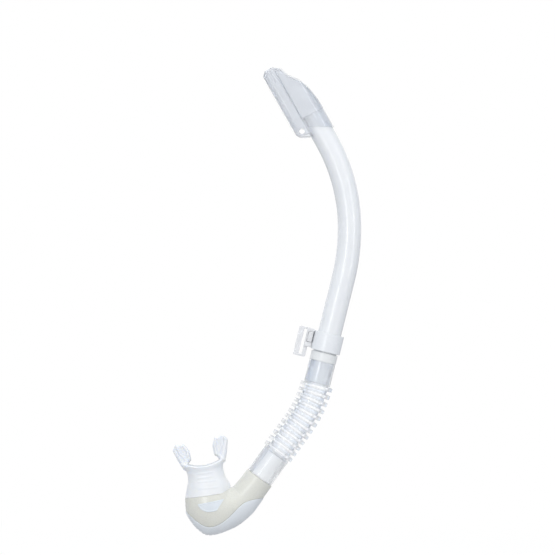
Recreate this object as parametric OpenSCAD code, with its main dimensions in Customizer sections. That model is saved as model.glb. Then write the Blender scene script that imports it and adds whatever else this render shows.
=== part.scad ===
// Snorkel tube: rigid curved barrel with a splash guard, sliding strap keeper,
// ribbed flexible hose, swivelling purge chamber and silicone mouthpiece.
// Millimetres, +Z up. The origin is the centre of the keeper's strap slot, and
// the whole centreline lies in the XZ plane.

/* [Barrel] */
// Outer diameter of the barrel
barrel_od = 22; // [20:0.5:23]
// Wall thickness of the barrel
barrel_wall = 2; // [1.2:0.1:2.5]
// Lean of the straight lower stretch from the vertical, in degrees
barrel_lean = 14; // [10:0.5:18]
// Length of the straight stretch above the keeper
straight_above = 61.6; // [55:0.2:70]
// Bend radius from the straight stretch to the vertical
lower_bend_r = 196; // [160:1:240]
// Bend radius from the vertical to the tip
upper_bend_r = 166; // [140:1:200]
// Backward lean of the tip, in degrees
tip_lean = 29.5; // [26:0.5:32]
// Length of the straight tip inside the splash guard
tip_len = 28; // [26:0.5:29]

/* [Splash guard] */
// Wall thickness of the guard
guard_wall = 1.2; // [1:0.1:1.4]
// Depth of the air chamber in front of the barrel's axis
guard_front = 22.4; // [21:0.1:24]
// Height of the guard's tip above the start of the straight tip
guard_tip = 83.8; // [83:0.1:86]
// Diameter of the drain hole
drain_d = 5.6; // [4:0.1:6]

/* [Strap keeper] */
// Outer diameter of the keeper ring
ring_od = 28; // [27.5:0.1:30]
// Height of the keeper ring
ring_h = 17.4; // [16:0.1:19]
// Width of the strap slot
slot_w = 2.8; // [2.4:0.1:3.2]
// Length of the strap slot
slot_h = 23.8; // [20:0.1:24]
// Distance of the strap slot from the barrel's axis
slot_out = 22.4; // [22.2:0.1:24]
// Thickness of the buckle plate
plate_t = 3; // [2:0.1:4]

/* [Hose] */
// Bend radius of the hose's centreline
hose_bend_r = 115; // [100:1:160]
// Lean of the hose's lower end from the vertical, in degrees
hose_lean = 36; // [30:0.5:40]
// Outer diameter over the ribs
rib_od = 30.6; // [28:0.2:32]
// Number of ribs
rib_count = 12; // [8:1:12]
// Distance from one rib to the next
rib_pitch = 6.4; // [6:0.05:6.4]
// Width of one rib
rib_w = 3.4; // [2.5:0.1:4]
// Length of the lower cuff
cuff_len = 28; // [24:0.5:28]

/* [Chamber] */
// Diameter of the chamber's arm
arm_d = 28; // [27.6:0.1:29]
// Wall thickness of the chamber
chamber_wall = 2; // [1.6:0.1:2.4]
// Largest thickness of the purge cover
cover_t = 1.6; // [1.2:0.1:2]
// Diameter of the purge port
port_d = 18; // [16:0.5:18.5]

/* [Mouthpiece] */
// Wall thickness of the silicone mouthpiece
mouth_wall = 2.2; // [1.8:0.1:2.4]
// Distance between the centres of the two bite tabs
tab_gap = 36; // [34:0.5:40]

/* [Hidden] */
$fn = 64;

barrel_r = barrel_od / 2;
bore_r = barrel_r - barrel_wall;
fit = 0.05;       // radial gap of a running fit
skirt = 0.1;      // gap between pieces that are pressed or glued together
join_len = 0.2;   // overlap of a straight pipe and the bend next to it
join_step = 0.01;

// Keeper centre on the barrel's axis, seen from the strap slot at the origin
slot_drop = 4;
keeper = [slot_out * cos(barrel_lean) + slot_drop * sin(barrel_lean),
  slot_drop * cos(barrel_lean) - slot_out * sin(barrel_lean)];

// Lower end of the barrel, top of the hose's bend
foot = 38.4;
hose_arc = hose_lean - barrel_lean;
hose_arc_len = hose_bend_r * hose_arc * PI / 180;
hose_straight = 60.3;
first_rib = 3.6;
cuff_top = hose_arc_len + hose_straight - cuff_len;

// Directions in the XZ plane: along a leaning axis, and square to it
function along(t) = [sin(t), cos(t)];
function across(t) = [cos(t), -sin(t)];
function ray(a) = [cos(a), sin(a)];

foot_pos = keeper - foot * along(barrel_lean);
hose_end = foot_pos - hose_bend_r * (across(barrel_lean) - across(hose_lean));
swivel = hose_end - hose_straight * along(hose_lean);

// Places a child drawn along +Z at a point of the XZ plane, leaning towards +X
module at(p, lean) {
  translate([p[0], 0, p[1]]) rotate([0, lean, 0]) children();
}
module at_keeper() { at(keeper, barrel_lean) children(); }
module at_swivel() { at(swivel, hose_lean) children(); }

module ring_profile(ro, ri) {
  difference() {
    circle(ro);
    circle(ri);
  }
}
module pipe(ro, ri, h) {
  linear_extrude(h) ring_profile(ro, ri);
}
// Pipe that starts along +Z and bends towards -X. It is a hair thinner than its
// straight neighbours and stops inside them, so that the pieces join cleanly.
module bent_pipe(ro, ri, bend, angle) {
  trim = join_len / 2 / bend * 180 / PI;
  translate([-bend, 0, 0]) rotate([90, 0, 0]) rotate(trim)
    rotate_extrude(angle = angle - 2 * trim, $fn = 180) translate([bend, 0])
      ring_profile(ro - join_step, ri + join_step);
}
// Goes to the end of such a bend
module after_bend(bend, angle) {
  translate([-bend, 0, 0]) rotate([0, -angle, 0]) translate([bend, 0, 0]) children();
}

// ---- barrel and splash guard ----
module at_tip() {
  at_keeper() translate([0, 0, straight_above]) after_bend(lower_bend_r, barrel_lean)
    after_bend(upper_bend_r, tip_lean) children();
}
module barrel() color("whitesmoke") {
  at_keeper() {
    translate([0, 0, -foot]) pipe(barrel_r, bore_r, foot + straight_above + join_len);
    translate([0, 0, straight_above]) {
      bent_pipe(barrel_r, bore_r, lower_bend_r, barrel_lean);
      after_bend(lower_bend_r, barrel_lean) {
        translate([0, 0, -join_len]) pipe(barrel_r, bore_r, 2 * join_len);
        bent_pipe(barrel_r, bore_r, upper_bend_r, tip_lean);
        after_bend(upper_bend_r, tip_lean) translate([0, 0, -join_len])
          pipe(barrel_r, bore_r, tip_len + join_len);
      }
    }
  }
}

// Side view of the guard as [across, up], drawn w inside its outer face
hood_r = barrel_r + guard_wall;
// How far the guard's back lies in from its lower end, as [up, in]
hood_back = [[30, 0], [37, 0.4], [44, 1.5], [51, 2.9], [57.5, 5.1], [62.5, 7.8], [66.5, 10.7],
  [70.2, 13.7], [74, 15.1], [78.5, 16.6]];
function hood_upper(w) = concat(
  [for (p = hood_back) [hood_r - w - p[1], p[0] - w * (p[0] - 30) / 48]],
  [[-11.4, guard_tip - w], [-guard_front + 3.5, guard_tip - w], [-guard_front + w, guard_tip - 3.5]]
);
front_base = 12.8;
module hood_outline() {
  polygon(concat(
    [[hood_r, 7]], hood_upper(0),
    [for (a = [0:15:75]) [-guard_front + 7 - 7 * cos(a), front_base + 7.2 - 7.2 * sin(a)]],
    [[-9.2, 9], [-9.2, 19.3]]
  ));
}
module hood_cavity() {
  w = guard_wall;
  polygon(concat(
    [[hood_r - w, tip_len + 0.5]], hood_upper(w),
    [for (a = [0:15:75]) [-guard_front + w + 6 - 6 * cos(a), front_base + w + 6.2 - 6.2 * sin(a)]],
    [[-9.2, front_base + w - 1.5], [-9.2, tip_len + 0.5]]
  ));
}
// Section of the guard square to the barrel: round at the back, rounded box in front
module hood_section(w) {
  corner = 6;
  side = hood_r - w;
  circle(side);
  translate([-guard_front + corner, -side]) square([guard_front - corner, 2 * side]);
  translate([-guard_front + w, -side + corner]) square([corner, 2 * side - 2 * corner]);
  for (m = [-1, 1]) translate([-guard_front + w + corner, m * (side - corner)]) circle(corner);
}
module hood_block(w) {
  intersection() {
    rotate([90, 0, 0]) linear_extrude(40, center = true) children();
    linear_extrude(100) hood_section(w);
  }
}
inlet_x = -15.8;
module guard_hood() color([0.8, 0.86, 0.88, 0.6]) at_tip() {
  difference() {
    hood_block(0) hood_outline();
    hood_block(guard_wall) hood_cavity();
    cylinder(r = barrel_r + skirt, h = tip_len + 0.6);
    translate([inlet_x, 0, 18.4]) rotate([90, 0, 0]) cylinder(d = drain_d, h = 60, center = true);
    translate([inlet_x - 4.4, -8, guard_tip - 3]) cube([8, 16, 10]);
    for (m = [-1, 1]) translate([inlet_x - 1.1, m * hood_r - 0.6, 69]) cube([2.2, 1.2, 13]);
  }
  for (m = [-1, 1], k = [0, 1])
    translate([1.2 + 2 * k, m * (hood_r - 0.7) - 0.5, 21 - 2 * k]) cube([0.8, 1.4, 9]);
}
baffle_x = -10.9;
module guard_baffle() color([0.85, 0.9, 0.92, 0.6]) at_tip() {
  half = hood_r - guard_wall - skirt;
  difference() {
    translate([baffle_x, -half, tip_len + 0.2]) cube([guard_wall, 2 * half, 79 - tip_len]);
    translate([baffle_x - 1, -7, tip_len + 3]) cube([4, 14, 14]);
  }
}

// ---- strap keeper ----
grip_r = barrel_r + 1.2;
ring_r = ring_od / 2;
module keeper_grip() color("gainsboro") at_keeper() {
  translate([0, 0, 0.5 - ring_h / 2]) pipe(grip_r, barrel_r + fit, ring_h - 1);
}
tongue_len = 5.6;
tongue_t = 2.6;
tongue_z = [-4, 7.5];
module keeper_ring() color([0.9, 0.93, 0.95]) at_keeper() difference() {
  union() {
    translate([0, 0, -ring_h / 2]) cylinder(r = ring_r, h = ring_h);
    translate([-ring_r - tongue_len, -tongue_t / 2, tongue_z[0]])
      cube([tongue_len + 1.5, tongue_t, tongue_z[1] - tongue_z[0]]);
  }
  translate([0, 0, -ring_h / 2 - 1]) cylinder(r = grip_r + fit, h = ring_h + 2);
  translate([-ring_r - 4.6, -5, -2.8]) cube([3.6, 10, 9]);
}
button_x = -ring_r - 2.9;
button_z = 1.7;
button = [3.0, 8.2];
pad = [4.4, 9.4];
house_t = 7.2;
// Plate with the strap slot, and the housing that takes the ring's tongue
module strap_buckle() color("white") at_keeper() {
  plate_top = 9.6;
  plate_low = -18;
  bar = 5;
  left = -slot_out - slot_w / 2 - bar;
  house_left = -slot_out + slot_w / 2 + 0.4;
  house_right = -ring_r - 0.25;
  gap = 0.25;
  difference() {
    union() {
      rotate([90, 0, 0]) linear_extrude(plate_t, center = true) {
        round_rect(left, plate_low, -17.2, plate_top, 1.5);
        round_rect(-18, -8, house_right, plate_top, 0.8);
      }
      rotate([90, 0, 0]) linear_extrude(house_t, center = true)
        round_rect(house_left, -8, house_right, plate_top, 1);
    }
    translate([-slot_out - slot_w / 2, -10, -slot_drop - slot_h / 2]) cube([slot_w, 20, slot_h]);
    translate([-ring_r - tongue_len - gap, -tongue_t / 2 - gap, tongue_z[0] - gap])
      cube([tongue_len + 5, tongue_t + 2 * gap, tongue_z[1] - tongue_z[0] + 2 * gap]);
    translate([button_x - button[0] / 2 - 0.2, -10, button_z - button[1] / 2 - 0.2])
      cube([button[0] + 0.4, 10, button[1] + 0.4]);
    translate([button_x - pad[0] / 2 - 0.2, -10, button_z - pad[1] / 2 - 0.2])
      cube([pad[0] + 0.4, 10 - 2, pad[1] + 0.4]);
  }
}
module round_rect(x0, y0, x1, y1, r) {
  translate([x0 + r, y0]) square([x1 - x0 - 2 * r, y1 - y0]);
  translate([x0, y0 + r]) square([x1 - x0, y1 - y0 - 2 * r]);
  for (x = [x0 + r, x1 - r], y = [y0 + r, y1 - r]) translate([x, y]) circle(r);
}
module release_button() color("ghostwhite") at_keeper() {
  translate([button_x - button[0] / 2, -3.4, button_z - button[1] / 2])
    cube([button[0], 1.8, button[1]]);
  translate([button_x - pad[0] / 2, -4.6, button_z - pad[1] / 2]) cube([pad[0], 1.2, pad[1]]);
}

// ---- hose ----
collar_top = -ring_h / 2 - 1.2;
hose_top = -18.2;
module hose_collar() color([0.86, 0.9, 0.93]) at_keeper() {
  translate([0, 0, hose_top + skirt]) pipe(barrel_r + 1.5, barrel_r + skirt, collar_top - hose_top - skirt);
}
hose_r = 10.8;
hose_bore = 9.3;
top_cuff_r = 12.5;
top_cuff_past = 1.2;    // how far the upper cuff runs past the barrel's end
low_cuff_r = 13.3;
spigot_r = 11.75;
cuff_gap = 0.6;         // gap between the lower cuff and the chamber's arm
function degrees(len) = len / hose_bend_r * 180 / PI;
// Part of the hose's bend, from d0 to d1 below the barrel's end
module hose_bend(ro, ri, d0, d1) {
  at(hose_point(d1), barrel_lean + degrees(d1)) bent_pipe(ro, ri, hose_bend_r, degrees(d1 - d0));
}
function hose_point(d) = foot_pos
  - hose_bend_r * (across(barrel_lean) - across(barrel_lean + degrees(d)));
// Disc square to the hose's centreline, d below the barrel's end
module hose_disc(ro, ri, d, h) {
  past = max(0, d - hose_arc_len);
  on_arc = min(d, hose_arc_len);
  at(hose_point(on_arc), barrel_lean + degrees(on_arc)) translate([0, 0, -past - h / 2]) pipe(ro, ri, h);
}
module flex_hose() color([0.85, 0.92, 0.96, 0.5]) {
  at_keeper() translate([0, 0, -foot - join_len])
    pipe(top_cuff_r, barrel_r + skirt, foot + hose_top + join_len);
  hose_bend(top_cuff_r, hose_bore - join_step, 0, top_cuff_past);
  hose_bend(hose_r, hose_bore, top_cuff_past - 2 * join_len, hose_arc_len);
  at_swivel() difference() {
    union() {
      translate([0, 0, cuff_gap]) cylinder(r = low_cuff_r, h = cuff_len - cuff_gap);
      cylinder(r = hose_r, h = hose_straight + join_len);
    }
    translate([0, 0, -1]) cylinder(r = hose_bore, h = hose_straight + 2);
    translate([0, 0, -1]) cylinder(r = spigot_r + skirt, h = cuff_len + 1 - 1.6);
  }
  for (i = [0:rib_count - 1]) hose_disc(rib_od / 2, hose_bore + 0.6, first_rib + i * rib_pitch, rib_w);
}

// ---- swivel ----
neck_r = 10.4;
neck_bore = 8.2;
bush_len = 11;
clip_t = 1.4;
groove_r = 9.5;
seal_z = -5;
seal_r = 0.74;
module swivel_spigot() color("white") at_swivel() difference() {
  union() {
    translate([0, 0, 0.3]) cylinder(r = spigot_r, h = cuff_len - 2.2);
    translate([0, 0, -bush_len - 3.4]) cylinder(r = neck_r, h = bush_len + 4);
  }
  translate([0, 0, -bush_len - 4]) cylinder(r = neck_bore, h = bush_len + cuff_len + 4);
  translate([0, 0, -bush_len - 0.4 - clip_t]) pipe(20, groove_r, clip_t + 0.1);
  translate([0, 0, seal_z - 0.9]) pipe(20, neck_r - 1.5, 1.8);
}
module swivel_seal() color("dimgray") at_swivel() translate([0, 0, seal_z])
  rotate_extrude() translate([neck_r - seal_r, 0]) circle(seal_r);
module swivel_clip() color("silver") at_swivel() translate([0, 0, -bush_len - 0.35 - clip_t])
  rotate_extrude(angle = 320) translate([groove_r + skirt, 0]) square([1.9, clip_t - skirt]);
bush_r = arm_d / 2 - 1.7;
module swivel_bush() color("white") at_swivel() translate([0, 0, -bush_len])
  pipe(bush_r, neck_r + fit, bush_len);

// ---- chamber: sections that fan around the crotch between arm and mouth ----
crotch = swivel - 20.4 * along(hose_lean) - 16.1 * across(hose_lean);
mouth_lean = -171.5;
arm_r = arm_d / 2;
// Each row is [inner x, inner z, outer x, outer z, half depth in y]
function arm_row(down, r, depth) = let (c = swivel - down * along(hose_lean))
  concat(c - r * across(hose_lean), c + r * across(hose_lean), [depth]);
function fan_row(a, near, far, depth) = concat(crotch + near * ray(a), crotch + far * ray(a), [depth]);
mouth_sill = 5.7;       // how far the mouth's rim lies below the crotch
elbow = [
  arm_row(0, arm_r, arm_r),
  arm_row(10, arm_r + 0.1, arm_r + 0.3),
  fan_row(-36, 1.2, 30.4, 15.2),
  fan_row(-60, 1.2, 32.6, 16.4),
  fan_row(-90, 1.4, 40.1, 17.8),
  fan_row(-118, 2.4, 52.3, 18.8),
  fan_row(-145, 3.8, 50.9, 18.6),
  concat(crotch + [-0.9, -mouth_sill], crotch + [-0.9, -mouth_sill] + 44.2 * ray(mouth_lean), [17.6])
];
// Smooth curve through the rows; u runs from 0 to 1
function blend(rows, u) = let (
    n = len(rows) - 1, k = min(floor(u * n), n - 1), t = u * n - k,
    b = rows[k], c = rows[k + 1],
    a = k > 0 ? rows[k - 1] : 2 * b - c, d = k + 2 <= n ? rows[k + 2] : 2 * c - b)
  0.5 * (2 * b + (c - a) * t + (2 * a - 5 * b + 4 * c - d) * t * t + (3 * b - a - 3 * c + d) * t * t * t);
// Point of a row's ellipse, drawn w inside it and moved up the row's own axis
function on_row(row, phi, w, up = 0) = let (
    p = [row[0], row[1]], q = [row[2], row[3]], mid = (p + q) / 2, half = norm(q - p) / 2,
    e = (q - p) / (2 * half), m = mid + (half - w) * cos(phi) * e + up * [e[1], -e[0]])
  [m[0], (row[4] - w) * sin(phi), m[1]];

// Half angle that the purge cover wraps around the elbow's outside
cover_from = 0.19;
cover_to = 0.9;
function cover_angle(u) = lookup(u, [[0.19, 3], [0.205, 24], [0.23, 42], [0.26, 55], [0.3, 66],
  [0.34, 74], [0.42, 81], [0.5, 82], [0.56, 77], [0.6, 70], [0.65, 60], [0.7, 52], [0.77, 41.5],
  [0.82, 33], [0.86, 24], [0.885, 14], [0.9, 3]]);
// Dish in the chamber's outside that the purge cover lies in
function dish(u, phi) = let (a = cover_angle(u), f = (phi > 180 ? phi - 360 : phi) / a)
  u < cover_from || u > cover_to || abs(f) > 1 ? 0 : cover_t * (1 - f * f) * min(1, a / 45);

// Solid whose sections are closed loops of points, joined end to end in a ring
module ring_loft(loops) {
  n = len(loops);
  m = len(loops[0]);
  polyhedron([for (loop = loops) each loop],
    [for (i = [0:n - 1], j = [0:m - 1]) let (i2 = (i + 1) % n, j2 = (j + 1) % m)
      each [[i * m + j, i2 * m + j2, i2 * m + j], [i * m + j, i * m + j2, i2 * m + j2]]]);
}
// The same with flat ends in place of the join
module capped_loft(loops) {
  n = len(loops);
  m = len(loops[0]);
  polyhedron([for (loop = loops) each loop], concat(
    [for (i = [0:n - 2], j = [0:m - 1]) let (j2 = (j + 1) % m)
      each [[i * m + j, (i + 1) * m + j2, (i + 1) * m + j], [i * m + j, i * m + j2, (i + 1) * m + j2]]],
    [[for (j = [m - 1:-1:0]) j], [for (j = [0:m - 1]) (n - 1) * m + j]]));
}
around = 40;
elbow_steps = 28;
lip_u = 0.32;           // how far up the mouthpiece's neck the chamber's port reaches
lip_in = mouth_wall + skirt;
lip_t = 1.4;
// Wall thickness of the chamber, which grows under the purge cover and at the port
function shell_wall(i) = i < 7 ? 1.6
  : chamber_wall + cover_t * sin(180 * (i - 6) / (elbow_steps - 4)) + lip_t * max(0, i - elbow_steps + 4) / 4;
function elbow_loop(u, w) = [for (j = [0:around - 1]) let (phi = 360 * j / around)
  on_row(blend(elbow, u), phi, w + dish(u, phi))];
module chamber_shell() ring_loft(concat(
  [for (i = [0:elbow_steps]) elbow_loop(i / elbow_steps, 0)],
  [for (k = [0:4]) neck_loop(lip_u * k / 4, lip_in)],
  [neck_loop(lip_u, lip_in + lip_t)],
  [for (i = [elbow_steps:-1:0]) [for (j = [0:around - 1])
    on_row(blend(elbow, i / elbow_steps), 360 * j / around, shell_wall(i))]]
));
module chamber_solid() capped_loft([for (i = [0:elbow_steps]) elbow_loop(i / elbow_steps, 0.05)]);

// ---- purge valve, square to the chamber's lowest wall ----
purge_ray = -120;
port_r = port_d / 2;
seat_face = 38.5;
module at_purge() {
  translate([crotch[0], 0, crotch[1]]) rotate([0, 90 - purge_ray, 0]) children();
}
module chamber_body() color([0.93, 0.93, 0.87]) difference() {
  union() {
    chamber_shell();
    intersection() {
      at_purge() translate([0, 0, seat_face - 1]) cylinder(r = port_r + 2, h = 20);
      chamber_solid();
    }
  }
  at_purge() translate([0, 0, seat_face - 5]) cylinder(r = port_r, h = 40);
}
module purge_seat() color("white") at_purge() {
  translate([0, 0, seat_face]) pipe(port_r - fit, port_r - 1.4, 5);
  translate([0, 0, seat_face]) pipe(3, 1.2, 1.6);
  for (a = [0:60:359]) rotate(a) translate([2.6, -0.6, seat_face]) cube([port_r - 3.6, 1.2, 1.6]);
}
module purge_membrane() color("lightblue") at_purge() {
  translate([0, 0, seat_face + 1.65]) cylinder(r = port_r - 1.9, h = 0.8);
  translate([0, 0, seat_face - 1]) cylinder(r = 1.15, h = 2.8);
}
cover_steps = 24;
cover_cols = 16;
vent = [1.6, 9, 8];
module cover_shell() {
  n = cover_steps;
  m = cover_cols;
  function u(i) = cover_from + (cover_to - cover_from) * i / n;
  function line(i, inner) = [for (j = [0:m]) let (f = 2 * j / m - 1, a = cover_angle(u(i)))
    on_row(blend(elbow, u(i)), f * a, inner ? dish(u(i), f * a) - 0.12 : -0.4)];
  function loop(i) = concat(line(i, false), [for (p = [m:-1:0]) line(i, true)[p]]);
  capped_loft([for (i = [0:n]) loop(i)]);
}
module purge_cover() color([0.8, 0.84, 0.88]) difference() {
  cover_shell();
  at_purge() for (k = [-2:2]) translate([k * 3.6 - vent[0] / 2, -vent[1] / 2, 40])
    cube([vent[0], vent[1], 20]);
}

// ---- badges: plain D-shaped inlays that follow the chamber's two sides ----
badge_from = 0.742;
badge_to = 0.9155;
badge_mid = [-19.9, -14.3];   // middle of the flat edge, from the crotch
badge_half = 12.5;            // half length of the flat edge
badge_depth = 9.4;
badge_tilt = 11.5;
badge_t = 0.6;
badge_rows = 14;
badge_cols = 8;
// Where a row crosses the badge: the angles of its flat edge and of its round edge
function badge_span(u) = let (
    row = blend(elbow, u), p = [row[0], row[1]], q = [row[2], row[3]], half = norm(q - p) / 2,
    e = (q - p) / (2 * half), m = (p + q) / 2 - crotch - badge_mid,
    flat = -ray(badge_tilt) / badge_half, down = -ray(90 + badge_tilt) / badge_depth,
    k = [m * flat, e * flat], h = [m * down, e * down],
    a = k[1] * k[1] + h[1] * h[1], b = 2 * (k[0] * k[1] + h[0] * h[1]), c = k[0] * k[0] + h[0] * h[0] - 1,
    t_flat = -h[0] / h[1], t_far = (-b + sqrt(max(0, b * b - 4 * a * c))) / (2 * a))
  [acos(t_flat / half), acos(max(t_far, t_flat + 0.05) / half)];
module badge() {
  function line(u, w) = let (span = badge_span(u))
    [for (j = [0:badge_cols]) on_row(blend(elbow, u), span[0] + (span[1] - span[0]) * j / badge_cols, w)];
  function loop(u) = let (inner = line(u, -skirt / 2))
    concat(line(u, -badge_t), [for (j = [badge_cols:-1:0]) inner[j]]);
  capped_loft([for (i = [0:badge_rows])
    loop(badge_from + (badge_to - badge_from) * (1 - cos(180 * i / badge_rows)) / 2)]);
}
module badge_near() color([0.78, 0.82, 0.86]) mirror([0, 1, 0]) badge();
module badge_far() color([0.78, 0.82, 0.86]) badge();

// ---- mouthpiece ----
// Rows run from the chamber's rim to the flange
neck = [
  elbow[len(elbow) - 1],
  concat(crotch + [-2.2, 1.2], crotch + [-43, -2.2], [15.6]),
  concat(crotch + [-6.4, 8.6], crotch + [-42, 4], [13.8]),
  concat(crotch + [-8.6, 16.4], crotch + [-43.4, 11.4], [13]),
  concat(crotch + [-6.5, 23], crotch + [-49.3, 17.4], [14.6])
];
mouth_steps = 14;
bow = 5;
function neck_loop(u, w, bow_h = 0, up = 0) = [for (j = [0:around - 1]) let (phi = 360 * j / around)
  on_row(blend(neck, u), phi, w, up + bow_h * (pow(cos(phi), 2) - 0.5))];
function neck_bow(u) = u < 0.6 ? 0 : bow * (u - 0.6) / 0.4;
function mouth_thick(u) = mouth_wall + 1.4 * pow(max(0, u - 0.5) / 0.5, 2);
tab_lean = -12;
tab_splay = 20;
tab_mid = crotch + [-29.4, 33];
// Smooth skin round a few ellipsoids, each [across, along, radius, half thickness]
module pebble(side, list) hull() for (p = list)
  translate([side * p[0], 0, p[1]]) scale([1, p[3] / p[2], 1]) sphere(p[2], $fn = 14);
// Bite tab: an oval plate with two bowed ridges, and a web that carries it on the flange's end
module tab(side) {
  at(tab_mid + side * tab_gap / 2 * across(tab_lean), tab_lean + side * tab_splay) {
    pebble(side, [[-4.4, 5.4, 1.9, 1.6], [-4.9, -1, 1.9, 1.6], [-2.4, -8, 1.9, 1.6], [1.6, 0, 1.9, 1.6],
      [0.8, 7.6, 1.9, 1.6], [0.2, -9, 1.9, 1.6]]);
    pebble(side, [[-4.4, 6, 1.9, 3.1], [-5.2, -0.5, 2, 3.3]]);
    pebble(side, [[-5.2, -0.5, 2, 3.3], [-2.8, -8, 1.7, 2.6]]);
    pebble(side, [[0.9, 8.4, 2, 3.1], [1.8, 1, 2.1, 3.3]]);
    pebble(side, [[1.8, 1, 2.1, 3.3], [0.6, -8, 1.9, 2.6]]);
    pebble(side, [[4.8, 5.6, 2, 1.5], [4.8, -3, 2.4, 1.9], [4, -11.5, 3, 4.2]]);
    pebble(side, [[0.6, -8, 2.6, 2.6], [4.2, -12.5, 3, 5.1]]);
  }
}
module mouthpiece() color([0.8, 0.87, 0.93, 0.7]) {
  ring_loft(concat(
    [for (i = [0:mouth_steps]) let (u = i / mouth_steps)
      neck_loop(u, 0, neck_bow(u), i == 0 ? skirt / 2 : 0)],
    [for (i = [mouth_steps:-1:0]) let (u = i / mouth_steps)
      neck_loop(u, mouth_thick(u), neck_bow(u), i == mouth_steps ? 0.6 : i == 0 ? skirt / 2 : 0)]
  ));
  for (side = [-1, 1]) tab(side);
}

barrel();
guard_hood();
guard_baffle();
keeper_grip();
keeper_ring();
strap_buckle();
release_button();
hose_collar();
flex_hose();
swivel_spigot();
swivel_seal();
swivel_clip();
swivel_bush();
chamber_body();
purge_seat();
purge_membrane();
purge_cover();
badge_near();
badge_far();
mouthpiece();
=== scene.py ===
"""Snorkel tube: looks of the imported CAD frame. Shapes are written in millimetres and scaled once."""

import math

import bmesh
import bpy
import numpy as np
from mathutils import Matrix, Vector
from mathutils.bvhtree import BVHTree


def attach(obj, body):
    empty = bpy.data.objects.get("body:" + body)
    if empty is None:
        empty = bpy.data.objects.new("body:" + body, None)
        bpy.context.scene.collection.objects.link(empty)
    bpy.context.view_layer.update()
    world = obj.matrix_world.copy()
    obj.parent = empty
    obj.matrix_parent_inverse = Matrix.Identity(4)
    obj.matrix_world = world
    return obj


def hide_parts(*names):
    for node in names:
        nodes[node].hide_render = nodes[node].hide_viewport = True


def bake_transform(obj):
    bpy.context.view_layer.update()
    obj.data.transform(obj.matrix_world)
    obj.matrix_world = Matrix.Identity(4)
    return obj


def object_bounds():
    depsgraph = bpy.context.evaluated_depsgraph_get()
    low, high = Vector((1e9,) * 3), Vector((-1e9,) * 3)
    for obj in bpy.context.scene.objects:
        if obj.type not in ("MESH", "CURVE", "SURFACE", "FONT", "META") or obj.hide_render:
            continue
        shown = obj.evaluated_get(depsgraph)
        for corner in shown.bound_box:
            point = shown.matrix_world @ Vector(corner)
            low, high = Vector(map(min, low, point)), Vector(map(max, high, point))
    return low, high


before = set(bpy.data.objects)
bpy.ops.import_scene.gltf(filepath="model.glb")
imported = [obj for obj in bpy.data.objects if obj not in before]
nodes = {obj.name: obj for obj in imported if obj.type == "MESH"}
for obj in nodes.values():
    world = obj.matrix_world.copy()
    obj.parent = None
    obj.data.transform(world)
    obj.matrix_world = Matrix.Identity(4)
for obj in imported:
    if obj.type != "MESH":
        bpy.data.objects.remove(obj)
cad_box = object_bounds()
MM = 0.001


# ---------------------------------------------------------------- small tools
def sind(a):
    return math.sin(math.radians(a))


def cosd(a):
    return math.cos(math.radians(a))


def along(t):
    return np.array([sind(t), cosd(t)])


def across(t):
    return np.array([cosd(t), -sind(t)])


def ray(a):
    return np.array([cosd(a), sind(a)])


def smooth(x, lo, hi):
    t = np.clip((np.asarray(x, float) - lo) / (hi - lo), 0, 1)
    return t * t * (3 - 2 * t)


def quarter_round(x):
    """Height of a quarter circle's edge: 0 at x = 0, and 1 from x = 1 on."""
    return np.sqrt(1 - (1 - np.clip(x, 0, 1)) ** 2)


def add_object(name, mesh):
    obj = bpy.data.objects.new(name, mesh)
    bpy.context.scene.collection.objects.link(obj)
    return obj


def make(name, points, faces, outward=True):
    """Object from points in millimetres, shaded smooth, with its faces turned outward."""
    mesh = bpy.data.meshes.new(name)
    mesh.from_pydata((np.asarray(points, float) * MM).tolist(), [], faces)
    mesh.validate()
    if outward:
        bm = bmesh.new()
        bm.from_mesh(mesh)
        bmesh.ops.recalc_face_normals(bm, faces=bm.faces)
        bm.to_mesh(mesh)
        bm.free()
    mesh.shade_smooth()
    return add_object(name, mesh)


def grid_faces(n, m, ring):
    """Faces of n closed loops of m points. The last loop joins the first if ring is true."""
    last = n if ring else n - 1
    return [
        (i * m + j, i * m + (j + 1) % m, (i + 1) % n * m + (j + 1) % m, (i + 1) % n * m + j)
        for i in range(last)
        for j in range(m)
    ]


def ring_loft(name, loops):
    n, m = len(loops), len(loops[0])
    return make(name, np.concatenate(loops), grid_faces(n, m, True))


def capped_loft(name, loops):
    n, m = len(loops), len(loops[0])
    faces = grid_faces(n, m, False)
    faces += [tuple(range(m)), tuple(range((n - 1) * m, n * m))]
    return make(name, np.concatenate(loops), faces)


def apply_modifiers(obj):
    graph = bpy.context.evaluated_depsgraph_get()
    mesh = bpy.data.meshes.new_from_object(obj.evaluated_get(graph), depsgraph=graph)
    obj.modifiers.clear()
    old, obj.data = obj.data, mesh
    bpy.data.meshes.remove(old)
    obj.data.shade_smooth()
    return obj


def fuse(obj, voxel, rounds, factor=0.5):
    """Joins overlapping solids into one skin and rounds its edges. voxel is in millimetres."""
    skin = obj.modifiers.new("skin", "REMESH")
    skin.mode = "VOXEL"
    skin.voxel_size = voxel * MM
    skin.use_smooth_shade = True
    soft = obj.modifiers.new("soft", "SMOOTH")
    soft.factor = factor
    soft.iterations = rounds
    return apply_modifiers(obj)


def cut(obj, *tools):
    """Takes the tools away from obj, and deletes them."""
    for tool in tools:
        mod = obj.modifiers.new("cut", "BOOLEAN")
        mod.operation = "DIFFERENCE"
        mod.solver = "EXACT"
        mod.object = tool
    apply_modifiers(obj)
    for tool in tools:
        bpy.data.objects.remove(tool)
    return obj


def softened(node, name, voxel, rounds):
    """Copy of a CAD node with moulded, rounded edges."""
    obj = add_object(name, nodes[node].data.copy())
    obj.data.materials.clear()
    bm = bmesh.new()
    bm.from_mesh(obj.data)
    bmesh.ops.remove_doubles(bm, verts=bm.verts, dist=1e-6)
    bm.to_mesh(obj.data)
    bm.free()
    return fuse(obj, voxel, rounds)


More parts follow.
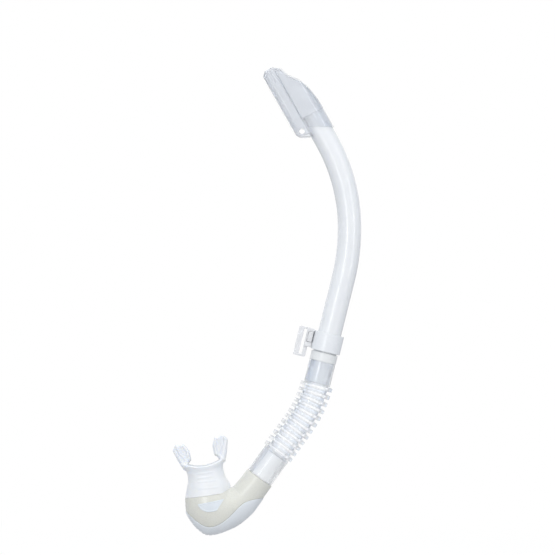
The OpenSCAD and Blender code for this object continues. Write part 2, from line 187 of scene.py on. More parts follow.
def place(obj, material, body, slot, *replaced):
    obj.data.materials.clear()
    obj.data.materials.append(material)
    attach(obj, body)
    if replaced:
        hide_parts(*replaced)
    return obj


# ---------------------------------------------------------------- shader nodes
def set_sockets(node, values):
    """Sets a node's input sockets; an underscore in a key stands for a space."""
    for key, value in values.items():
        node.inputs[key.replace("_", " ")].default_value = value


def add_node(tree, kind, **values):
    node = tree.nodes.new("ShaderNode" + kind)
    set_sockets(node, values)
    return node


def add_ramp(tree, low, low_colour, high, high_colour, blend="LINEAR"):
    """Ramp between two colours, from position low to position high."""
    node = add_node(tree, "ValToRGB")
    node.color_ramp.interpolation = blend
    ends = zip(node.color_ramp.elements, (low, high), (low_colour, high_colour))
    for element, position, colour in ends:
        element.position = position
        element.color = (*colour, 1)
    return node


def add_math(tree, operation, *sources):
    node = add_node(tree, "Math")
    node.operation = operation
    for source, socket in zip(sources, node.inputs):
        tree.links.new(source, socket)
    return node


def mixed(tree, share, first, second):
    """Shader that goes from first to second as share goes from 0 to 1."""
    node = add_node(tree, "MixShader")
    for source, socket in zip((share, first, second), node.inputs):
        tree.links.new(source, socket)
    return node.outputs["Shader"]


def empty_tree(owner):
    owner.use_nodes = True
    owner.node_tree.nodes.clear()
    return owner.node_tree


# ---------------------------------------------------------------- materials
GRAIN_DEPTH = 0.00003


def surface(name, colour, tint, rough, grain, bump, scale=60.0, **sockets):
    """Moulded plastic or rubber: two close colours in soft patches, a roughness that
    wanders a little, and a fine grain. Extra sockets are set on the shader itself."""
    mat = bpy.data.materials.new(name)
    mat.use_nodes = True
    tree = mat.node_tree
    shader = tree.nodes["Principled BSDF"]
    coords = add_node(tree, "TexCoord")
    patches = add_node(tree, "TexNoise", Scale=scale, Detail=3.0, Roughness=0.55)
    fine = add_node(tree, "TexNoise", Scale=grain, Detail=4.0, Roughness=0.6)
    for tex in (patches, fine):
        tree.links.new(coords.outputs["Object"], tex.inputs["Vector"])
    ramp = add_ramp(tree, 0.3, tint, 0.7, colour)
    tree.links.new(patches.outputs["Fac"], ramp.inputs["Fac"])
    tree.links.new(ramp.outputs["Color"], shader.inputs["Base Color"])
    wander = add_node(tree, "MapRange", From_Min=0.3, From_Max=0.7, To_Min=rough * 0.8, To_Max=rough * 1.2)
    tree.links.new(fine.outputs["Fac"], wander.inputs["Value"])
    tree.links.new(wander.outputs["Result"], shader.inputs["Roughness"])
    relief = add_node(tree, "Bump", Strength=bump, Distance=GRAIN_DEPTH)
    tree.links.new(fine.outputs["Fac"], relief.inputs["Height"])
    tree.links.new(relief.outputs["Normal"], shader.inputs["Normal"])
    set_sockets(shader, sockets)
    return mat


barrel_plastic = surface(
    "barrel_plastic", (0.83, 0.85, 0.875), (0.80, 0.825, 0.855), 0.22, 900, 0.10,
    Coat_Weight=0.35, Coat_Roughness=0.07, IOR=1.5, Subsurface_Weight=0.12,
    Subsurface_Radius=(0.002, 0.002, 0.0024), Subsurface_Scale=1.0,
)
guard_clear = surface(
    "guard_clear", (0.89, 0.91, 0.945), (0.85, 0.875, 0.915), 0.14, 700, 0.10,
    Transmission_Weight=0.8, Alpha=0.8, IOR=1.47, Coat_Weight=0.2, Coat_Roughness=0.1,
)
socket_clear = surface(
    "socket_clear", (0.93, 0.945, 0.97), (0.90, 0.92, 0.95), 0.14, 700, 0.10,
    Transmission_Weight=0.8, Alpha=0.5, IOR=1.47, Coat_Weight=0.2, Coat_Roughness=0.1,
)
baffle_clear = surface(
    "baffle_clear", (0.96, 0.975, 1.0), (0.93, 0.95, 0.98), 0.2, 700, 0.10,
    Transmission_Weight=0.25, IOR=1.47,
)
soft_grip = surface("soft_grip", (0.70, 0.69, 0.62), (0.66, 0.65, 0.58), 0.5, 1500, 0.3, IOR=1.45)
keeper_plastic = surface(
    "keeper_plastic", (0.81, 0.835, 0.865), (0.78, 0.81, 0.845), 0.26, 1200, 0.18,
    IOR=1.49, Coat_Weight=0.2, Coat_Roughness=0.12,
)
buckle_plastic = surface(
    "buckle_plastic", (0.90, 0.91, 0.93), (0.86, 0.875, 0.90), 0.24, 1200, 0.15,
    Transmission_Weight=0.2, IOR=1.49, Coat_Weight=0.25, Coat_Roughness=0.1,
)
collar_plastic = surface(
    "collar_plastic", (0.89, 0.91, 0.92), (0.86, 0.885, 0.895), 0.3, 1200, 0.15,
    Transmission_Weight=0.1, IOR=1.49,
)
hose_silicone = surface(
    "hose_silicone", (0.975, 0.985, 1.0), (0.95, 0.97, 0.99), 0.07, 500, 0.10,
    Transmission_Weight=0.97, IOR=1.42, Alpha=0.5,
)
# Painted shade: darker blue copies of the hose's silicone for the rib flanks and the walls between the ribs;
# the hose's own faint blue tint is real, the deeper blue is painted
rib_flank_painted_shade = surface(
    "rib_flank_painted_shade", (0.68, 0.77, 0.90), (0.63, 0.73, 0.875), 0.2, 500, 0.10,
    Transmission_Weight=0.6, IOR=1.42, Alpha=0.8,
)
rib_root_painted_shade = surface(
    "rib_root_painted_shade", (0.925, 0.955, 0.99), (0.90, 0.935, 0.98), 0.07, 500, 0.10,
    Transmission_Weight=0.97, IOR=1.42, Alpha=0.85,
)
white_plastic = surface(
    "white_plastic", (0.95, 0.95, 0.94), (0.92, 0.92, 0.91), 0.3, 1000, 0.15, IOR=1.5, Coat_Weight=0.15,
)
seal_rubber = surface("seal_rubber", (0.05, 0.05, 0.055), (0.035, 0.035, 0.04), 0.5, 1500, 0.3, IOR=1.5)
clip_steel = surface("clip_steel", (0.62, 0.63, 0.65), (0.5, 0.51, 0.53), 0.28, 2500, 0.25, Metallic=1.0)
chamber_cream = surface(
    "chamber_cream", (0.72, 0.725, 0.675), (0.69, 0.695, 0.645), 0.28, 1100, 0.2,
    IOR=1.5, Coat_Weight=0.25, Coat_Roughness=0.12, Subsurface_Weight=0.15,
    Subsurface_Radius=(0.003, 0.0027, 0.002), Subsurface_Scale=1.0,
)
membrane_silicone = surface(
    "membrane_silicone", (0.80, 0.86, 0.90), (0.72, 0.80, 0.86), 0.35, 1200, 0.2,
    Transmission_Weight=0.4, IOR=1.41,
)
cover_plastic = surface(
    "cover_plastic", (0.84, 0.88, 0.92), (0.80, 0.845, 0.89), 0.32, 1100, 0.2,
    Transmission_Weight=0.1, IOR=1.48, Coat_Weight=0.2, Coat_Roughness=0.15,
)
badge_plastic = surface(
    "badge_plastic", (0.74, 0.79, 0.84), (0.70, 0.755, 0.81), 0.3, 1300, 0.25,
    IOR=1.5, Coat_Weight=0.3, Coat_Roughness=0.1,
)
mouth_silicone = surface(
    "mouth_silicone", (0.83, 0.85, 0.88), (0.80, 0.825, 0.86), 0.34, 1000, 0.2,
    IOR=1.41, Subsurface_Weight=0.4,
    Subsurface_Radius=(0.002, 0.0022, 0.0026), Subsurface_Scale=1.0,
)

# ---------------------------------------------------------------- the centreline
barrel_r, bore_r, barrel_lean = 11.0, 9.0, 14.0
keeper = 22.4 * across(barrel_lean) + 4 * along(barrel_lean)
# Along the barrel: straight from foot below the keeper to straight_above over it, then two bends,
# each a radius and an angle, then the straight tip
foot, straight_above = 38.4, 61.6
bends = ((196.0, 14.0), (166.0, 29.5))
tip_len = 28.0
# Down the hose: the barrel's lean turns into hose_lean on one bend, then it runs straight
hose_bend_r, hose_lean, hose_straight = 115.0, 36.0, 60.3
foot_pos = keeper - foot * along(barrel_lean)
hose_end = foot_pos - hose_bend_r * (across(barrel_lean) - across(hose_lean))
swivel = hose_end - hose_straight * along(hose_lean)
hose_arc_len = hose_bend_r * math.radians(hose_lean - barrel_lean)


def barrel_point(s):
    """Point and lean of the barrel's axis, s above the keeper's centre."""
    p, lean = keeper + min(s, straight_above) * along(barrel_lean), barrel_lean
    rest = s - straight_above
    for radius, angle in bends:
        if rest <= 0:
            return p, lean
        turn = min(rest / radius, math.radians(angle))
        new = lean - math.degrees(turn)
        p = p - radius * (across(lean) - across(new))
        lean, rest = new, rest - radius * turn
    return p + max(rest, 0) * along(lean), lean


def hose_point(d):
    """Point and lean of the hose's axis, d below the barrel's lower end."""
    if d <= 0:
        return foot_pos - d * along(barrel_lean), barrel_lean
    lean = barrel_lean + math.degrees(min(d, hose_arc_len) / hose_bend_r)
    p = foot_pos - hose_bend_r * (across(barrel_lean) - across(lean))
    return p - max(0, d - hose_arc_len) * along(lean), lean


def circle(centre, lean, radius, count):
    """Loop of points square to the axis; radius may be one number or one for each point."""
    phi = np.arange(count) * 2 * math.pi / count
    e = across(lean)
    r = np.broadcast_to(radius, (count,))
    x = r * np.cos(phi)
    return np.stack([centre[0] + x * e[0], r * np.sin(phi), centre[1] + x * e[1]], 1)


def swept(name, profile, axis, count):
    """Closed profile of (distance, radius) turned about a bent axis."""
    loops = []
    for s, r in profile:
        p, lean = axis(s)
        loops.append(circle(p, lean, r, count))
    return ring_loft(name, loops)


def rounded(corners, radius, steps=4):
    """Polyline through the corners with each corner rounded off; closed."""
    pts = np.array(corners, float)
    out = []
    for i in range(len(pts)):
        a, b, c = pts[i - 1], pts[i], pts[(i + 1) % len(pts)]
        u, v = a - b, c - b
        r = min(radius, np.linalg.norm(u) * 0.45, np.linalg.norm(v) * 0.45)
        p, q = b + u / np.linalg.norm(u) * r, b + v / np.linalg.norm(v) * r
        for k in range(steps + 1):
            t = k / steps
            out.append((1 - t) ** 2 * p + 2 * t * (1 - t) * b + t * t * q)
    return np.array(out)


def divided(profile, step):
    """The same closed polyline with no stretch along the axis longer than step."""
    out = []
    for i in range(len(profile)):
        a, b = profile[i], profile[(i + 1) % len(profile)]
        n = max(1, int(math.ceil(abs(b[0] - a[0]) / step)))
        out += [a + (b - a) * k / n for k in range(n)]
    return out


# ---------------------------------------------------------------- barrel
barrel_len = straight_above + sum(r * math.radians(a) for r, a in bends) + tip_len
barrel_corners = [(-foot, bore_r), (-foot, barrel_r), (barrel_len, barrel_r), (barrel_len, bore_r)]
barrel_profile = divided(rounded(barrel_corners, radius=0.5), step=1.6)
BARREL_COLS = 96
SEAM_HEIGHT, SEAM_WIDTH = 0.05, 0.03


def barrel_loops():
    """Loops of the barrel, with a fine moulding seam along each side of its outer skin."""
    phi = np.arange(BARREL_COLS) * 2 * math.pi / BARREL_COLS
    seam = np.exp(-(np.abs(np.sin(phi)) / SEAM_WIDTH) ** 2)
    for s, r in barrel_profile:
        p, lean = barrel_point(s)
        yield circle(p, lean, r - (SEAM_HEIGHT * (1 - seam) if r > barrel_r - 0.01 else 0), BARREL_COLS)


barrel = ring_loft("barrel_tube", list(barrel_loops()))
place(barrel, barrel_plastic, "barrel", "barrel_plastic", "barrel")

# ---------------------------------------------------------------- splash guard
guard = softened("guard_hood", "guard_shell", voxel=0.34, rounds=2)
place(guard, guard_clear, "barrel", "guard_clear", "guard_hood")
# The stretch of the guard that hugs the barrel's end is clearer, so that the barrel shows through
guard.data.materials.append(socket_clear)
barrel_tip, tip_lean = barrel_point(barrel_len)
socket_in, socket_out = -11.2, 13
for face in guard.data.polygons:
    from_tip = np.array([face.center.x, face.center.z]) / MM - barrel_tip
    hugs = from_tip @ along(tip_lean) < 0 and socket_in < from_tip @ across(tip_lean) < socket_out
    face.material_index = int(hugs)
baffle = softened("guard_baffle", "guard_partition", voxel=0.4, rounds=2)
place(baffle, baffle_clear, "barrel", "guard_clear", "guard_baffle")

# ---------------------------------------------------------------- strap keeper
for node, name, mat, body, slot, voxel in (
    ("keeper_grip", "keeper_liner", soft_grip, "grip", "soft_grip", 0.3),
    ("keeper_ring", "keeper_band", keeper_plastic, "ring", "keeper_plastic", 0.28),
    ("strap_buckle", "strap_plate", buckle_plastic, "buckle", "keeper_plastic", 0.2),
    ("release_button", "release_pad", buckle_plastic, "button", "keeper_plastic", 0.15),
    ("hose_collar", "hose_top_ring", collar_plastic, "barrel", "barrel_plastic", 0.3),
):
    place(softened(node, name, voxel, rounds=3), mat, body, slot, node)

# ---------------------------------------------------------------- hose
# Distances are measured down the hose's axis from the barrel's lower end
hose_r, hose_bore, rib_r, rib_w = 10.8, 9.3, 15.3, 3.4
upper_r, upper_bore, lower_r, lower_bore = 12.5, 11.15, 13.3, 11.85
hose_high, upper_end = -20.2, 1.2
cuff_top_d = hose_arc_len + hose_straight - 28
hose_low = hose_arc_len + hose_straight - 0.6
shoulder = cuff_top_d + 1.6
first_rib, rib_pitch, rib_count = 3.6, 6.4, 12
ribs = [first_rib + rib_pitch * i for i in range(rib_count)]
# The upper cuff has a shallow band groove round it
band_r = upper_r - 0.3
outer = [
    (hose_high, upper_bore), (hose_high, upper_r),
    (-10.6, upper_r), (-10.2, band_r), (-8.9, band_r), (-8.5, upper_r),
    (upper_end, upper_r), (upper_end, hose_r),
]
for d in ribs:
    start, end = d - rib_w / 2, d + rib_w / 2
    outer += [(start, hose_r), (start, rib_r), (end, rib_r), (end, hose_r)]
outer += [(cuff_top_d, hose_r), (cuff_top_d, lower_r), (hose_low, lower_r)]
inner = [
    (hose_low, lower_bore), (shoulder, lower_bore), (shoulder, hose_bore),
    (0.1, hose_bore), (0.1, upper_bore),
]
HOSE_COLS = 80
hose_profile = divided(rounded(outer + inner, radius=0.45, steps=3), step=1.6)
hose = swept("ribbed_hose", hose_profile, hose_point, HOSE_COLS)
# Painted shade: the ribs' flanks and the walls between the ribs are bluer than the rest of the hose,
# standing in for the dark lines that refraction draws along the ribs
for mat in (hose_silicone, rib_flank_painted_shade, rib_root_painted_shade):
    hose.data.materials.append(mat)
for face in hose.data.polygons:
    i = min(face.vertices) // HOSE_COLS
    a, b = hose_profile[i], hose_profile[(i + 1) % len(hose_profile)]
    ribbed = min(a[1], b[1]) > hose_r - 0.1 and upper_end + 0.1 < a[0] < cuff_top_d
    flank = ribbed and abs(b[1] - a[1]) > 1.5 * abs(b[0] - a[0])
    root = ribbed and not flank and max(a[1], b[1]) < hose_r + 0.5
    face.material_index = 1 if flank else 2 if root else 0
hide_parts("flex_hose")
top, bottom = hose_point(ribs[0])[0], hose_point(ribs[-1])[0]
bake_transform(hose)

# ---------------------------------------------------------------- chamber sections
arm_r = 14.0
# The inner corner between the arm and the mouthpiece, from which the sections fan out
crotch = swivel - 20.4 * along(hose_lean) - 16.1 * across(hose_lean)
wall, cover_t, mouth_wall = 2.0, 1.6, 2.2


# A row is the two ends of an ellipse in the XZ plane, and its half depth along Y
def arm_row(down, r, depth):
    c = swivel - down * along(hose_lean)
    return np.concatenate([c - r * across(hose_lean), c + r * across(hose_lean), [depth]])


def fan_row(a, near, far, depth):
    return np.concatenate([crotch + near * ray(a), crotch + far * ray(a), [depth]])


sill = crotch + np.array([-0.9, -5.7])
elbow = [
    arm_row(0, arm_r, arm_r), arm_row(10, arm_r + 0.1, arm_r + 0.3),
    fan_row(-36, 1.2, 30.4, 15.2), fan_row(-60, 1.2, 32.6, 16.4), fan_row(-90, 1.4, 40.1, 17.8),
    fan_row(-118, 2.4, 52.3, 18.8), fan_row(-145, 3.8, 50.9, 18.6),
    np.concatenate([sill, sill + 44.2 * ray(-171.5), [17.6]]),
]
# The mouthpiece's rows go on from the chamber's rim to the flange
neck = [elbow[-1]] + [
    np.concatenate([crotch + np.array(p), crotch + np.array(q), [depth]])
    for p, q, depth in (
        ((-2.2, 1.2), (-43, -2.2), 15.6), ((-6.4, 8.6), (-42, 4), 13.8),
        ((-8.6, 16.4), (-43.4, 11.4), 13), ((-6.5, 23), (-49.3, 17.4), 14.6))
]


def through(rows, u):
    """Smooth curve through the rows; u runs from 0 to 1."""
    n = len(rows) - 1
    k = min(int(u * n), n - 1)
    t = u * n - k
    b, c = rows[k], rows[k + 1]
    a = rows[k - 1] if k > 0 else 2 * b - c
    d = rows[k + 2] if k + 2 <= n else 2 * c - b
    slope, bend, twist = c - a, 2 * a - 5 * b + 4 * c - d, 3 * b - a - 3 * c + d
    return 0.5 * (2 * b + slope * t + bend * t * t + twist * t ** 3)


def on_row(row, phi, w, up=0.0):
    """Points of a row's ellipse at the angles phi, w inside it and moved up its own axis."""
    phi = np.radians(phi)
    p, q = row[:2], row[2:4]
    half = np.linalg.norm(q - p) / 2
    e = (q - p) / (2 * half)
    x = (half - w) * np.cos(phi)
    up = np.broadcast_to(up, x.shape)
    return np.stack([
        (p[0] + q[0]) / 2 + x * e[0] + up * e[1],
        (row[4] - w) * np.sin(phi),
        (p[1] + q[1]) / 2 + x * e[1] - up * e[0],
    ], 1)


# How far along the elbow, and how many degrees round it the purge cover reaches there to each side
cover_u, cover_a = np.array([
    (0.19, 3), (0.205, 24), (0.23, 42), (0.26, 55), (0.3, 66), (0.34, 74), (0.42, 81), (0.5, 82), (0.56, 77),
    (0.6, 70), (0.65, 60), (0.7, 52), (0.77, 41.5), (0.82, 33), (0.86, 24), (0.885, 14), (0.9, 3),
]).T


def cover_angle(u):
    """The cover's half angle: a monotone cubic through the table."""
    u = float(np.clip(u, cover_u[0], cover_u[-1]))
    h, slope = np.diff(cover_u), np.diff(cover_a) / np.diff(cover_u)
    m = np.zeros(len(cover_u))
    for i in range(1, len(cover_u) - 1):
        if slope[i - 1] * slope[i] > 0:
            m[i] = 2 * slope[i - 1] * slope[i] / (slope[i - 1] + slope[i])
    m[0], m[-1] = slope[0], slope[-1]
    k = min(int(np.searchsorted(cover_u, u, side="right")) - 1, len(h) - 1)
    t = (u - cover_u[k]) / h[k]
    return float((2 * t ** 3 - 3 * t ** 2 + 1) * cover_a[k] + (t ** 3 - 2 * t ** 2 + t) * h[k] * m[k]
                 + (3 * t ** 2 - 2 * t ** 3) * cover_a[k + 1] + (t ** 3 - t ** 2) * h[k] * m[k + 1])


def dish(u, phi):
    """Depth of the hollow that the purge cover lies in, phi degrees from the cover's middle."""
    a = cover_angle(u)
    f = phi / a
    inside = (u > cover_u[0]) & (u < cover_u[-1]) & (np.abs(f) < 1)
    return np.where(inside, cover_t * (1 - f * f) * min(1, a / 45), 0.0)


IN_COVER, BESIDE = 56, 72
GROOVE_WIDTH, GROOVE_DEPTH = 0.35, 0.42


def mean_radius(row):
    """Mean of a row's two half widths."""
    return (np.linalg.norm(row[2:4] - row[:2]) / 2 + row[4]) / 2


def columns(u):
    """Angles of the chamber's columns, with a close group along the purge cover's edge,
    and how far each is in the groove there."""
    a = cover_angle(u)
    g = math.degrees(GROOVE_WIDTH / mean_radius(through(elbow, u)))
    *edge, clear = np.array([0.5, 1.0, 1.8, 2.8, 3.9]) * g
    edge_sunk = np.array([1, 0.85, 0.25, 0])
    core = np.linspace(-a, a, IN_COVER)
    rest = np.linspace(a + clear, 360 - a - clear, BESIDE)
    phi = np.concatenate([core, a + np.array(edge), rest, 360 - a - np.array(edge)[::-1]])
    sunk = np.concatenate([np.ones(IN_COVER), edge_sunk, np.zeros(BESIDE), edge_sunk[::-1]])
    return phi, sunk


def chamber_depth(u):
    """Angles of a row's points, and how deep the hollow or the groove is at each."""
    phi, sunk = columns(u)
    signed = np.where(phi > 180, phi - 360, phi)
    low, high = cover_u[0], cover_u[-1]
    within = smooth(u, low - 0.004, low + 0.01) * (1 - smooth(u, high - 0.01, high + 0.004))
    return phi, np.maximum(dish(u, signed), GROOVE_DEPTH * sunk * within)


lip_u, lip_t = 0.32, 1.4
arm_wall, arm_end = 1.6, 0.24


def shell_wall(u):
    """The chamber's wall: thick under the cover's hollow, and again towards the mouthpiece."""
    if u < arm_end:
        return arm_wall
    return wall + cover_t * sind(180 * (28 * u - 6) / 24) + lip_t * max(0, 7 * u - 6)


def chamber_loops():
    """The arm's end, down the outside, round the lip inside the mouthpiece, and back up the bore."""
    steps, lip_steps, bore_steps = 150, 8, 56
    for u, w in ((0.0, 0.9), (0.0, 0.3), (0.0015, 0.1)):
        phi, _ = columns(u)
        yield on_row(through(elbow, u), phi, w)
    for i in range(1, steps + 1):
        u = i / steps
        phi, w = chamber_depth(u)
        if i == steps:
            w = w + 0.25
        yield on_row(through(elbow, u), phi, w)
    phi, _ = columns(1.0)
    lip_w = mouth_wall + 0.12
    for i in range(lip_steps + 1):
        yield on_row(through(neck, lip_u * i / lip_steps), phi, lip_w)
    for w, up in ((lip_w + 0.1, 0.25), (lip_w + 0.4, 0.35), (lip_w + 1.0, 0.35), (lip_w + 1.4, 0.1)):
        yield on_row(through(neck, lip_u), phi, w, up)
    for i in range(bore_steps, -1, -1):
        u = i / bore_steps
        phi, _ = columns(u)
        yield on_row(through(elbow, u), phi, shell_wall(u))


# ---------------------------------------------------------------- purge port
# Its own frame has its origin at the crotch and Z out through the chamber's wall
purge_dir = ray(-120)
purge_axis = Vector((purge_dir[0], 0, purge_dir[1]))
port_r, seat_face = 9.0, 38.5
to_purge = (
    Matrix.Translation(Vector((crotch[0], 0, crotch[1])) * MM)
    @ Vector((0, 0, 1)).rotation_difference(purge_axis).to_matrix().to_4x4()
)


def outlined(name, outline, z0, z1):
    """Prism of a closed outline in the purge frame, from z0 to z1."""
    outline = np.array(outline, float)
    loops = [np.column_stack([outline, np.full(len(outline), z)]) for z in (z0, z1)]
    obj = capped_loft(name, loops)
    obj.data.transform(to_purge)
    return obj


def round_outline(radius, count=64):
    t = np.arange(count) * 2 * math.pi / count
    return np.column_stack([radius * np.cos(t), radius * np.sin(t)])


chamber = ring_loft("chamber_shell", list(chamber_loops()))
chamber_tree = BVHTree.FromObject(chamber, bpy.context.evaluated_depsgraph_get())


def reach(x, y, z0=30.0):
    """Distance along the purge axis from the crotch to the chamber's inner wall."""
    start = to_purge @ Vector((x * MM, y * MM, z0 * MM))
    hit = chamber_tree.ray_cast(start, purge_axis)
    return z0 + hit[3] / MM


# Rings of the purge port: radius and height, where None lies just inside the chamber's wall
tube_r, tube_top, tube_edge = port_r + 2, seat_face - 1.0, seat_face - 0.6
tube_loops = []
for r, z in (
    (port_r, None), (port_r, tube_edge), (port_r + 0.4, tube_top),
    (port_r + 1.6, tube_top), (tube_r, tube_edge), (tube_r, None),
):
    ring = round_outline(r, 72)
    tube_loops.append(np.array([(x, y, reach(x, y) + 0.9 if z is None else z) for x, y in ring]))
port_tube = ring_loft("purge_port", tube_loops)
port_tube.data.transform(to_purge)
cut(chamber, outlined("port_cutter", round_outline(port_r), seat_face - 5, seat_face + 35))
place(chamber, chamber_cream, "chamber", "chamber_cream", "chamber_body")
place(port_tube, chamber_cream, "chamber", "chamber_cream")

# ---------------------------------------------------------------- purge cover
COVER_SUNK, COVER_RISE, COVER_ROUND = 0.15, 0.55, 0.9


def cover_loops():
    """Rows of the purge cover: proud of the chamber, rounded down at its edge, and in its hollow."""
    steps, cols = 110, 56
    f = np.sin(np.linspace(-1, 1, cols) * math.pi / 2)
    for i in range(steps + 1):
        u = cover_u[0] + (cover_u[-1] - cover_u[0]) * (0.5 - 0.5 * math.cos(math.pi * i / steps))
        a = cover_angle(u)
        row = through(elbow, u)
        inset = (1 - np.abs(f)) * math.radians(a) * mean_radius(row)
        end = min(u - cover_u[0], cover_u[-1] - u) * 130
        edge = quarter_round(np.minimum(inset, end) / COVER_ROUND)
        outside = on_row(row, f * a, COVER_SUNK - COVER_RISE * edge)
        inside = on_row(row, f * a, np.maximum(dish(u, f * a), GROOVE_DEPTH) - 0.1)
        yield np.concatenate([outside, inside[::-1]])


def slot_outline(cx, width, length, steps=8):
    """Outline of a slot with round ends."""
    r = width / 2
    t = np.linspace(0, math.pi, steps)
    top = np.column_stack([cx + r * np.cos(t), length / 2 - r + r * np.sin(t)])
    low = np.column_stack([cx - r * np.cos(t), r - length / 2 - r * np.sin(t)])
    return np.concatenate([top, low])


cover = capped_loft("purge_shield", list(cover_loops()))
vents = [slot_outline(k * 3.6, width=1.6, length=9) for k in range(-2, 3)]
cut(cover, *[outlined("vent_cutter", vent, 40, 60) for vent in vents])
place(cover, cover_plastic, "chamber", "cover_plastic", "purge_cover")

# ---------------------------------------------------------------- badges
# Half an ellipse on each side of the chamber: the stretch of the elbow that it spans, the middle
# of its flat edge seen from the crotch, its half width and its depth, and its tilt
badge_u, badge_mid = (0.742, 0.9155), np.array([-19.9, -14.3])
badge_half, badge_depth, badge_tilt = 12.5, 9.4, 11.5
badge_ways = -ray(badge_tilt), -ray(90 + badge_tilt)
BADGE_SUNK, BADGE_RISE, BADGE_ROUND = 0.02, 0.58, 0.5
BORDER_WIDTH, BORDER_SLOPE, BORDER_HEIGHT = 0.9, 0.4, 0.22


def badge_span(u):
    """Angles at which a row crosses the badge's flat edge and its round edge."""
    row = through(elbow, u)
    p, q = row[:2], row[2:4]
    half = np.linalg.norm(q - p) / 2
    e = (q - p) / (2 * half)
    m = (p + q) / 2 - crotch - badge_mid
    flat, down = badge_ways[0] / badge_half, badge_ways[1] / badge_depth
    k0, k1, h0, h1 = m @ flat, e @ flat, m @ down, e @ down
    a, b, c = k1 * k1 + h1 * h1, 2 * (k0 * k1 + h0 * h1), k0 * k0 + h0 * h0 - 1
    t_flat = -h0 / h1
    t_far = (-b + math.sqrt(max(0, b * b - 4 * a * c))) / (2 * a)
    return [math.degrees(math.acos(t / half)) for t in (t_flat, max(t_far, t_flat + 0.02))]


def badge(name, side):
    """D-shaped inlay with a raised plain border."""
    rows, cols = 72, 40
    spread = np.sin(np.linspace(-1, 1, cols) * math.pi / 2) * 0.5 + 0.5
    loops = []
    for i in range(rows + 1):
        u = badge_u[0] + (badge_u[1] - badge_u[0]) * (1 - math.cos(math.pi * i / rows)) / 2
        start, end = badge_span(u)
        phi = start + (end - start) * spread
        row = through(elbow, u)
        on = on_row(row, phi, 0)[:, ::2] - crotch - badge_mid
        x, y = on @ badge_ways[0], on @ badge_ways[1]
        rim = (1 - np.hypot(x / badge_half, y / badge_depth)) * (badge_half + badge_depth) / 2
        inset = np.clip(np.minimum(y, rim), 0, None)
        edge = quarter_round(inset / BADGE_ROUND)
        inner_drop = BORDER_HEIGHT * smooth(inset, BORDER_WIDTH, BORDER_WIDTH + BORDER_SLOPE)
        outside = on_row(row, phi, BADGE_SUNK - BADGE_RISE * edge + inner_drop)
        inside = on_row(row, phi, 0.3)
        loops.append(np.concatenate([outside, inside[::-1]]) * np.array([1, side, 1]))
    return capped_loft(name, loops)


place(badge("badge_inlay_near", -1), badge_plastic, "chamber", "cover_plastic", "badge_near")
place(badge("badge_inlay_far", 1), badge_plastic, "chamber", "cover_plastic", "badge_far")

# ---------------------------------------------------------------- mouthpiece
NECK_COLS = 140
neck_phi = np.arange(NECK_COLS) * 360 / NECK_COLS
grip_ridges = (0.21, 0.43, 0.56, 0.70)
RIDGE_HEIGHT, RIDGE_WIDTH = 0.32, 0.022
RIDGE_ROOM = 0.35
FLANGE_BOW, FLANGE_EXTRA = 5, 1.4


def neck_loop(u, w, up=0.0):
    """Loop of the neck, bowed towards the flange so that its rim follows the mouth."""
    bow = FLANGE_BOW * max(0, (u - 0.6) / 0.4)
    return on_row(through(neck, u), neck_phi, w, up + bow * (np.cos(np.radians(neck_phi)) ** 2 - 0.5))


def ridge_height(u):
    """The shallow ridges across the near and far side of the neck."""
    window = smooth(np.abs(np.sin(np.radians(neck_phi))), 0.84, 0.93)
    return RIDGE_HEIGHT * window * sum(math.exp(-((u - c) / RIDGE_WIDTH) ** 2) for c in grip_ridges)


def neck_shell():
    """The neck's outside from the chamber up to the flange, then its bore, thicker at the flange."""
    steps, bore_steps = 90, 30
    loops = [neck_loop(0, 0.5, 0.06), neck_loop(0.004, 0.15)]
    for i in range(1, steps + 1):
        u = i / steps
        loops.append(neck_loop(u, RIDGE_ROOM - ridge_height(u) if u > 0.03 else 0.1))
    for i in range(bore_steps, -1, -1):
        u = i / bore_steps
        thick = mouth_wall + FLANGE_EXTRA * max(0, (u - 0.5) / 0.5) ** 2
        up = 0.6 if i == bore_steps else 0.06 if i == 0 else 0
        loops.append(neck_loop(u, thick, up))
    return ring_loft("mouthpiece_skin", loops)


# ---------------------------------------------------------------- bite tabs
tab_lean, tab_splay, tab_gap = -12.0, 20, 36
tab_mid = crotch + np.array([-29.4, 33.0])


def tab_frame(side):
    """Place of a bite tab; its own X and Z are its across and along."""
    p = tab_mid + side * (tab_gap / 2) * across(tab_lean)
    turn = Matrix.Rotation(math.radians(tab_lean + side * tab_splay), 4, "Y")
    return Matrix.Translation(Vector((p[0], 0, p[1])) * MM) @ turn


def hulled(name, blobs, to, count=20):
    """Convex skin round a few ellipsoids, each (centre, radii), in millimetres."""
    bm = bmesh.new()
    for centre, radii in blobs:
        for i in range(count // 2 + 1):
            t = math.pi * i / (count // 2)
            for j in range(count if 0 < i < count // 2 else 1):
                f = 2 * math.pi * j / count
                v = (math.sin(t) * math.cos(f), math.sin(t) * math.sin(f), math.cos(t))
                bm.verts.new([(centre[k] + radii[k] * v[k]) * MM for k in range(3)])
    bmesh.ops.convex_hull(bm, input=bm.verts)
    bmesh.ops.delete(bm, geom=[v for v in bm.verts if not v.link_faces], context="VERTS")
    bmesh.ops.recalc_face_normals(bm, faces=bm.faces)
    mesh = bpy.data.meshes.new(name)
    bm.to_mesh(mesh)
    bm.free()
    mesh.transform(to)
    return add_object(name, mesh)


def join(first, others):
    """Adds the other meshes to the first."""
    bm = bmesh.new()
    bm.from_mesh(first.data)
    for other in others:
        bm.from_mesh(other.data)
    bm.to_mesh(first.data)
    bm.free()
    for other in others:
        bpy.data.objects.remove(other)
    return first


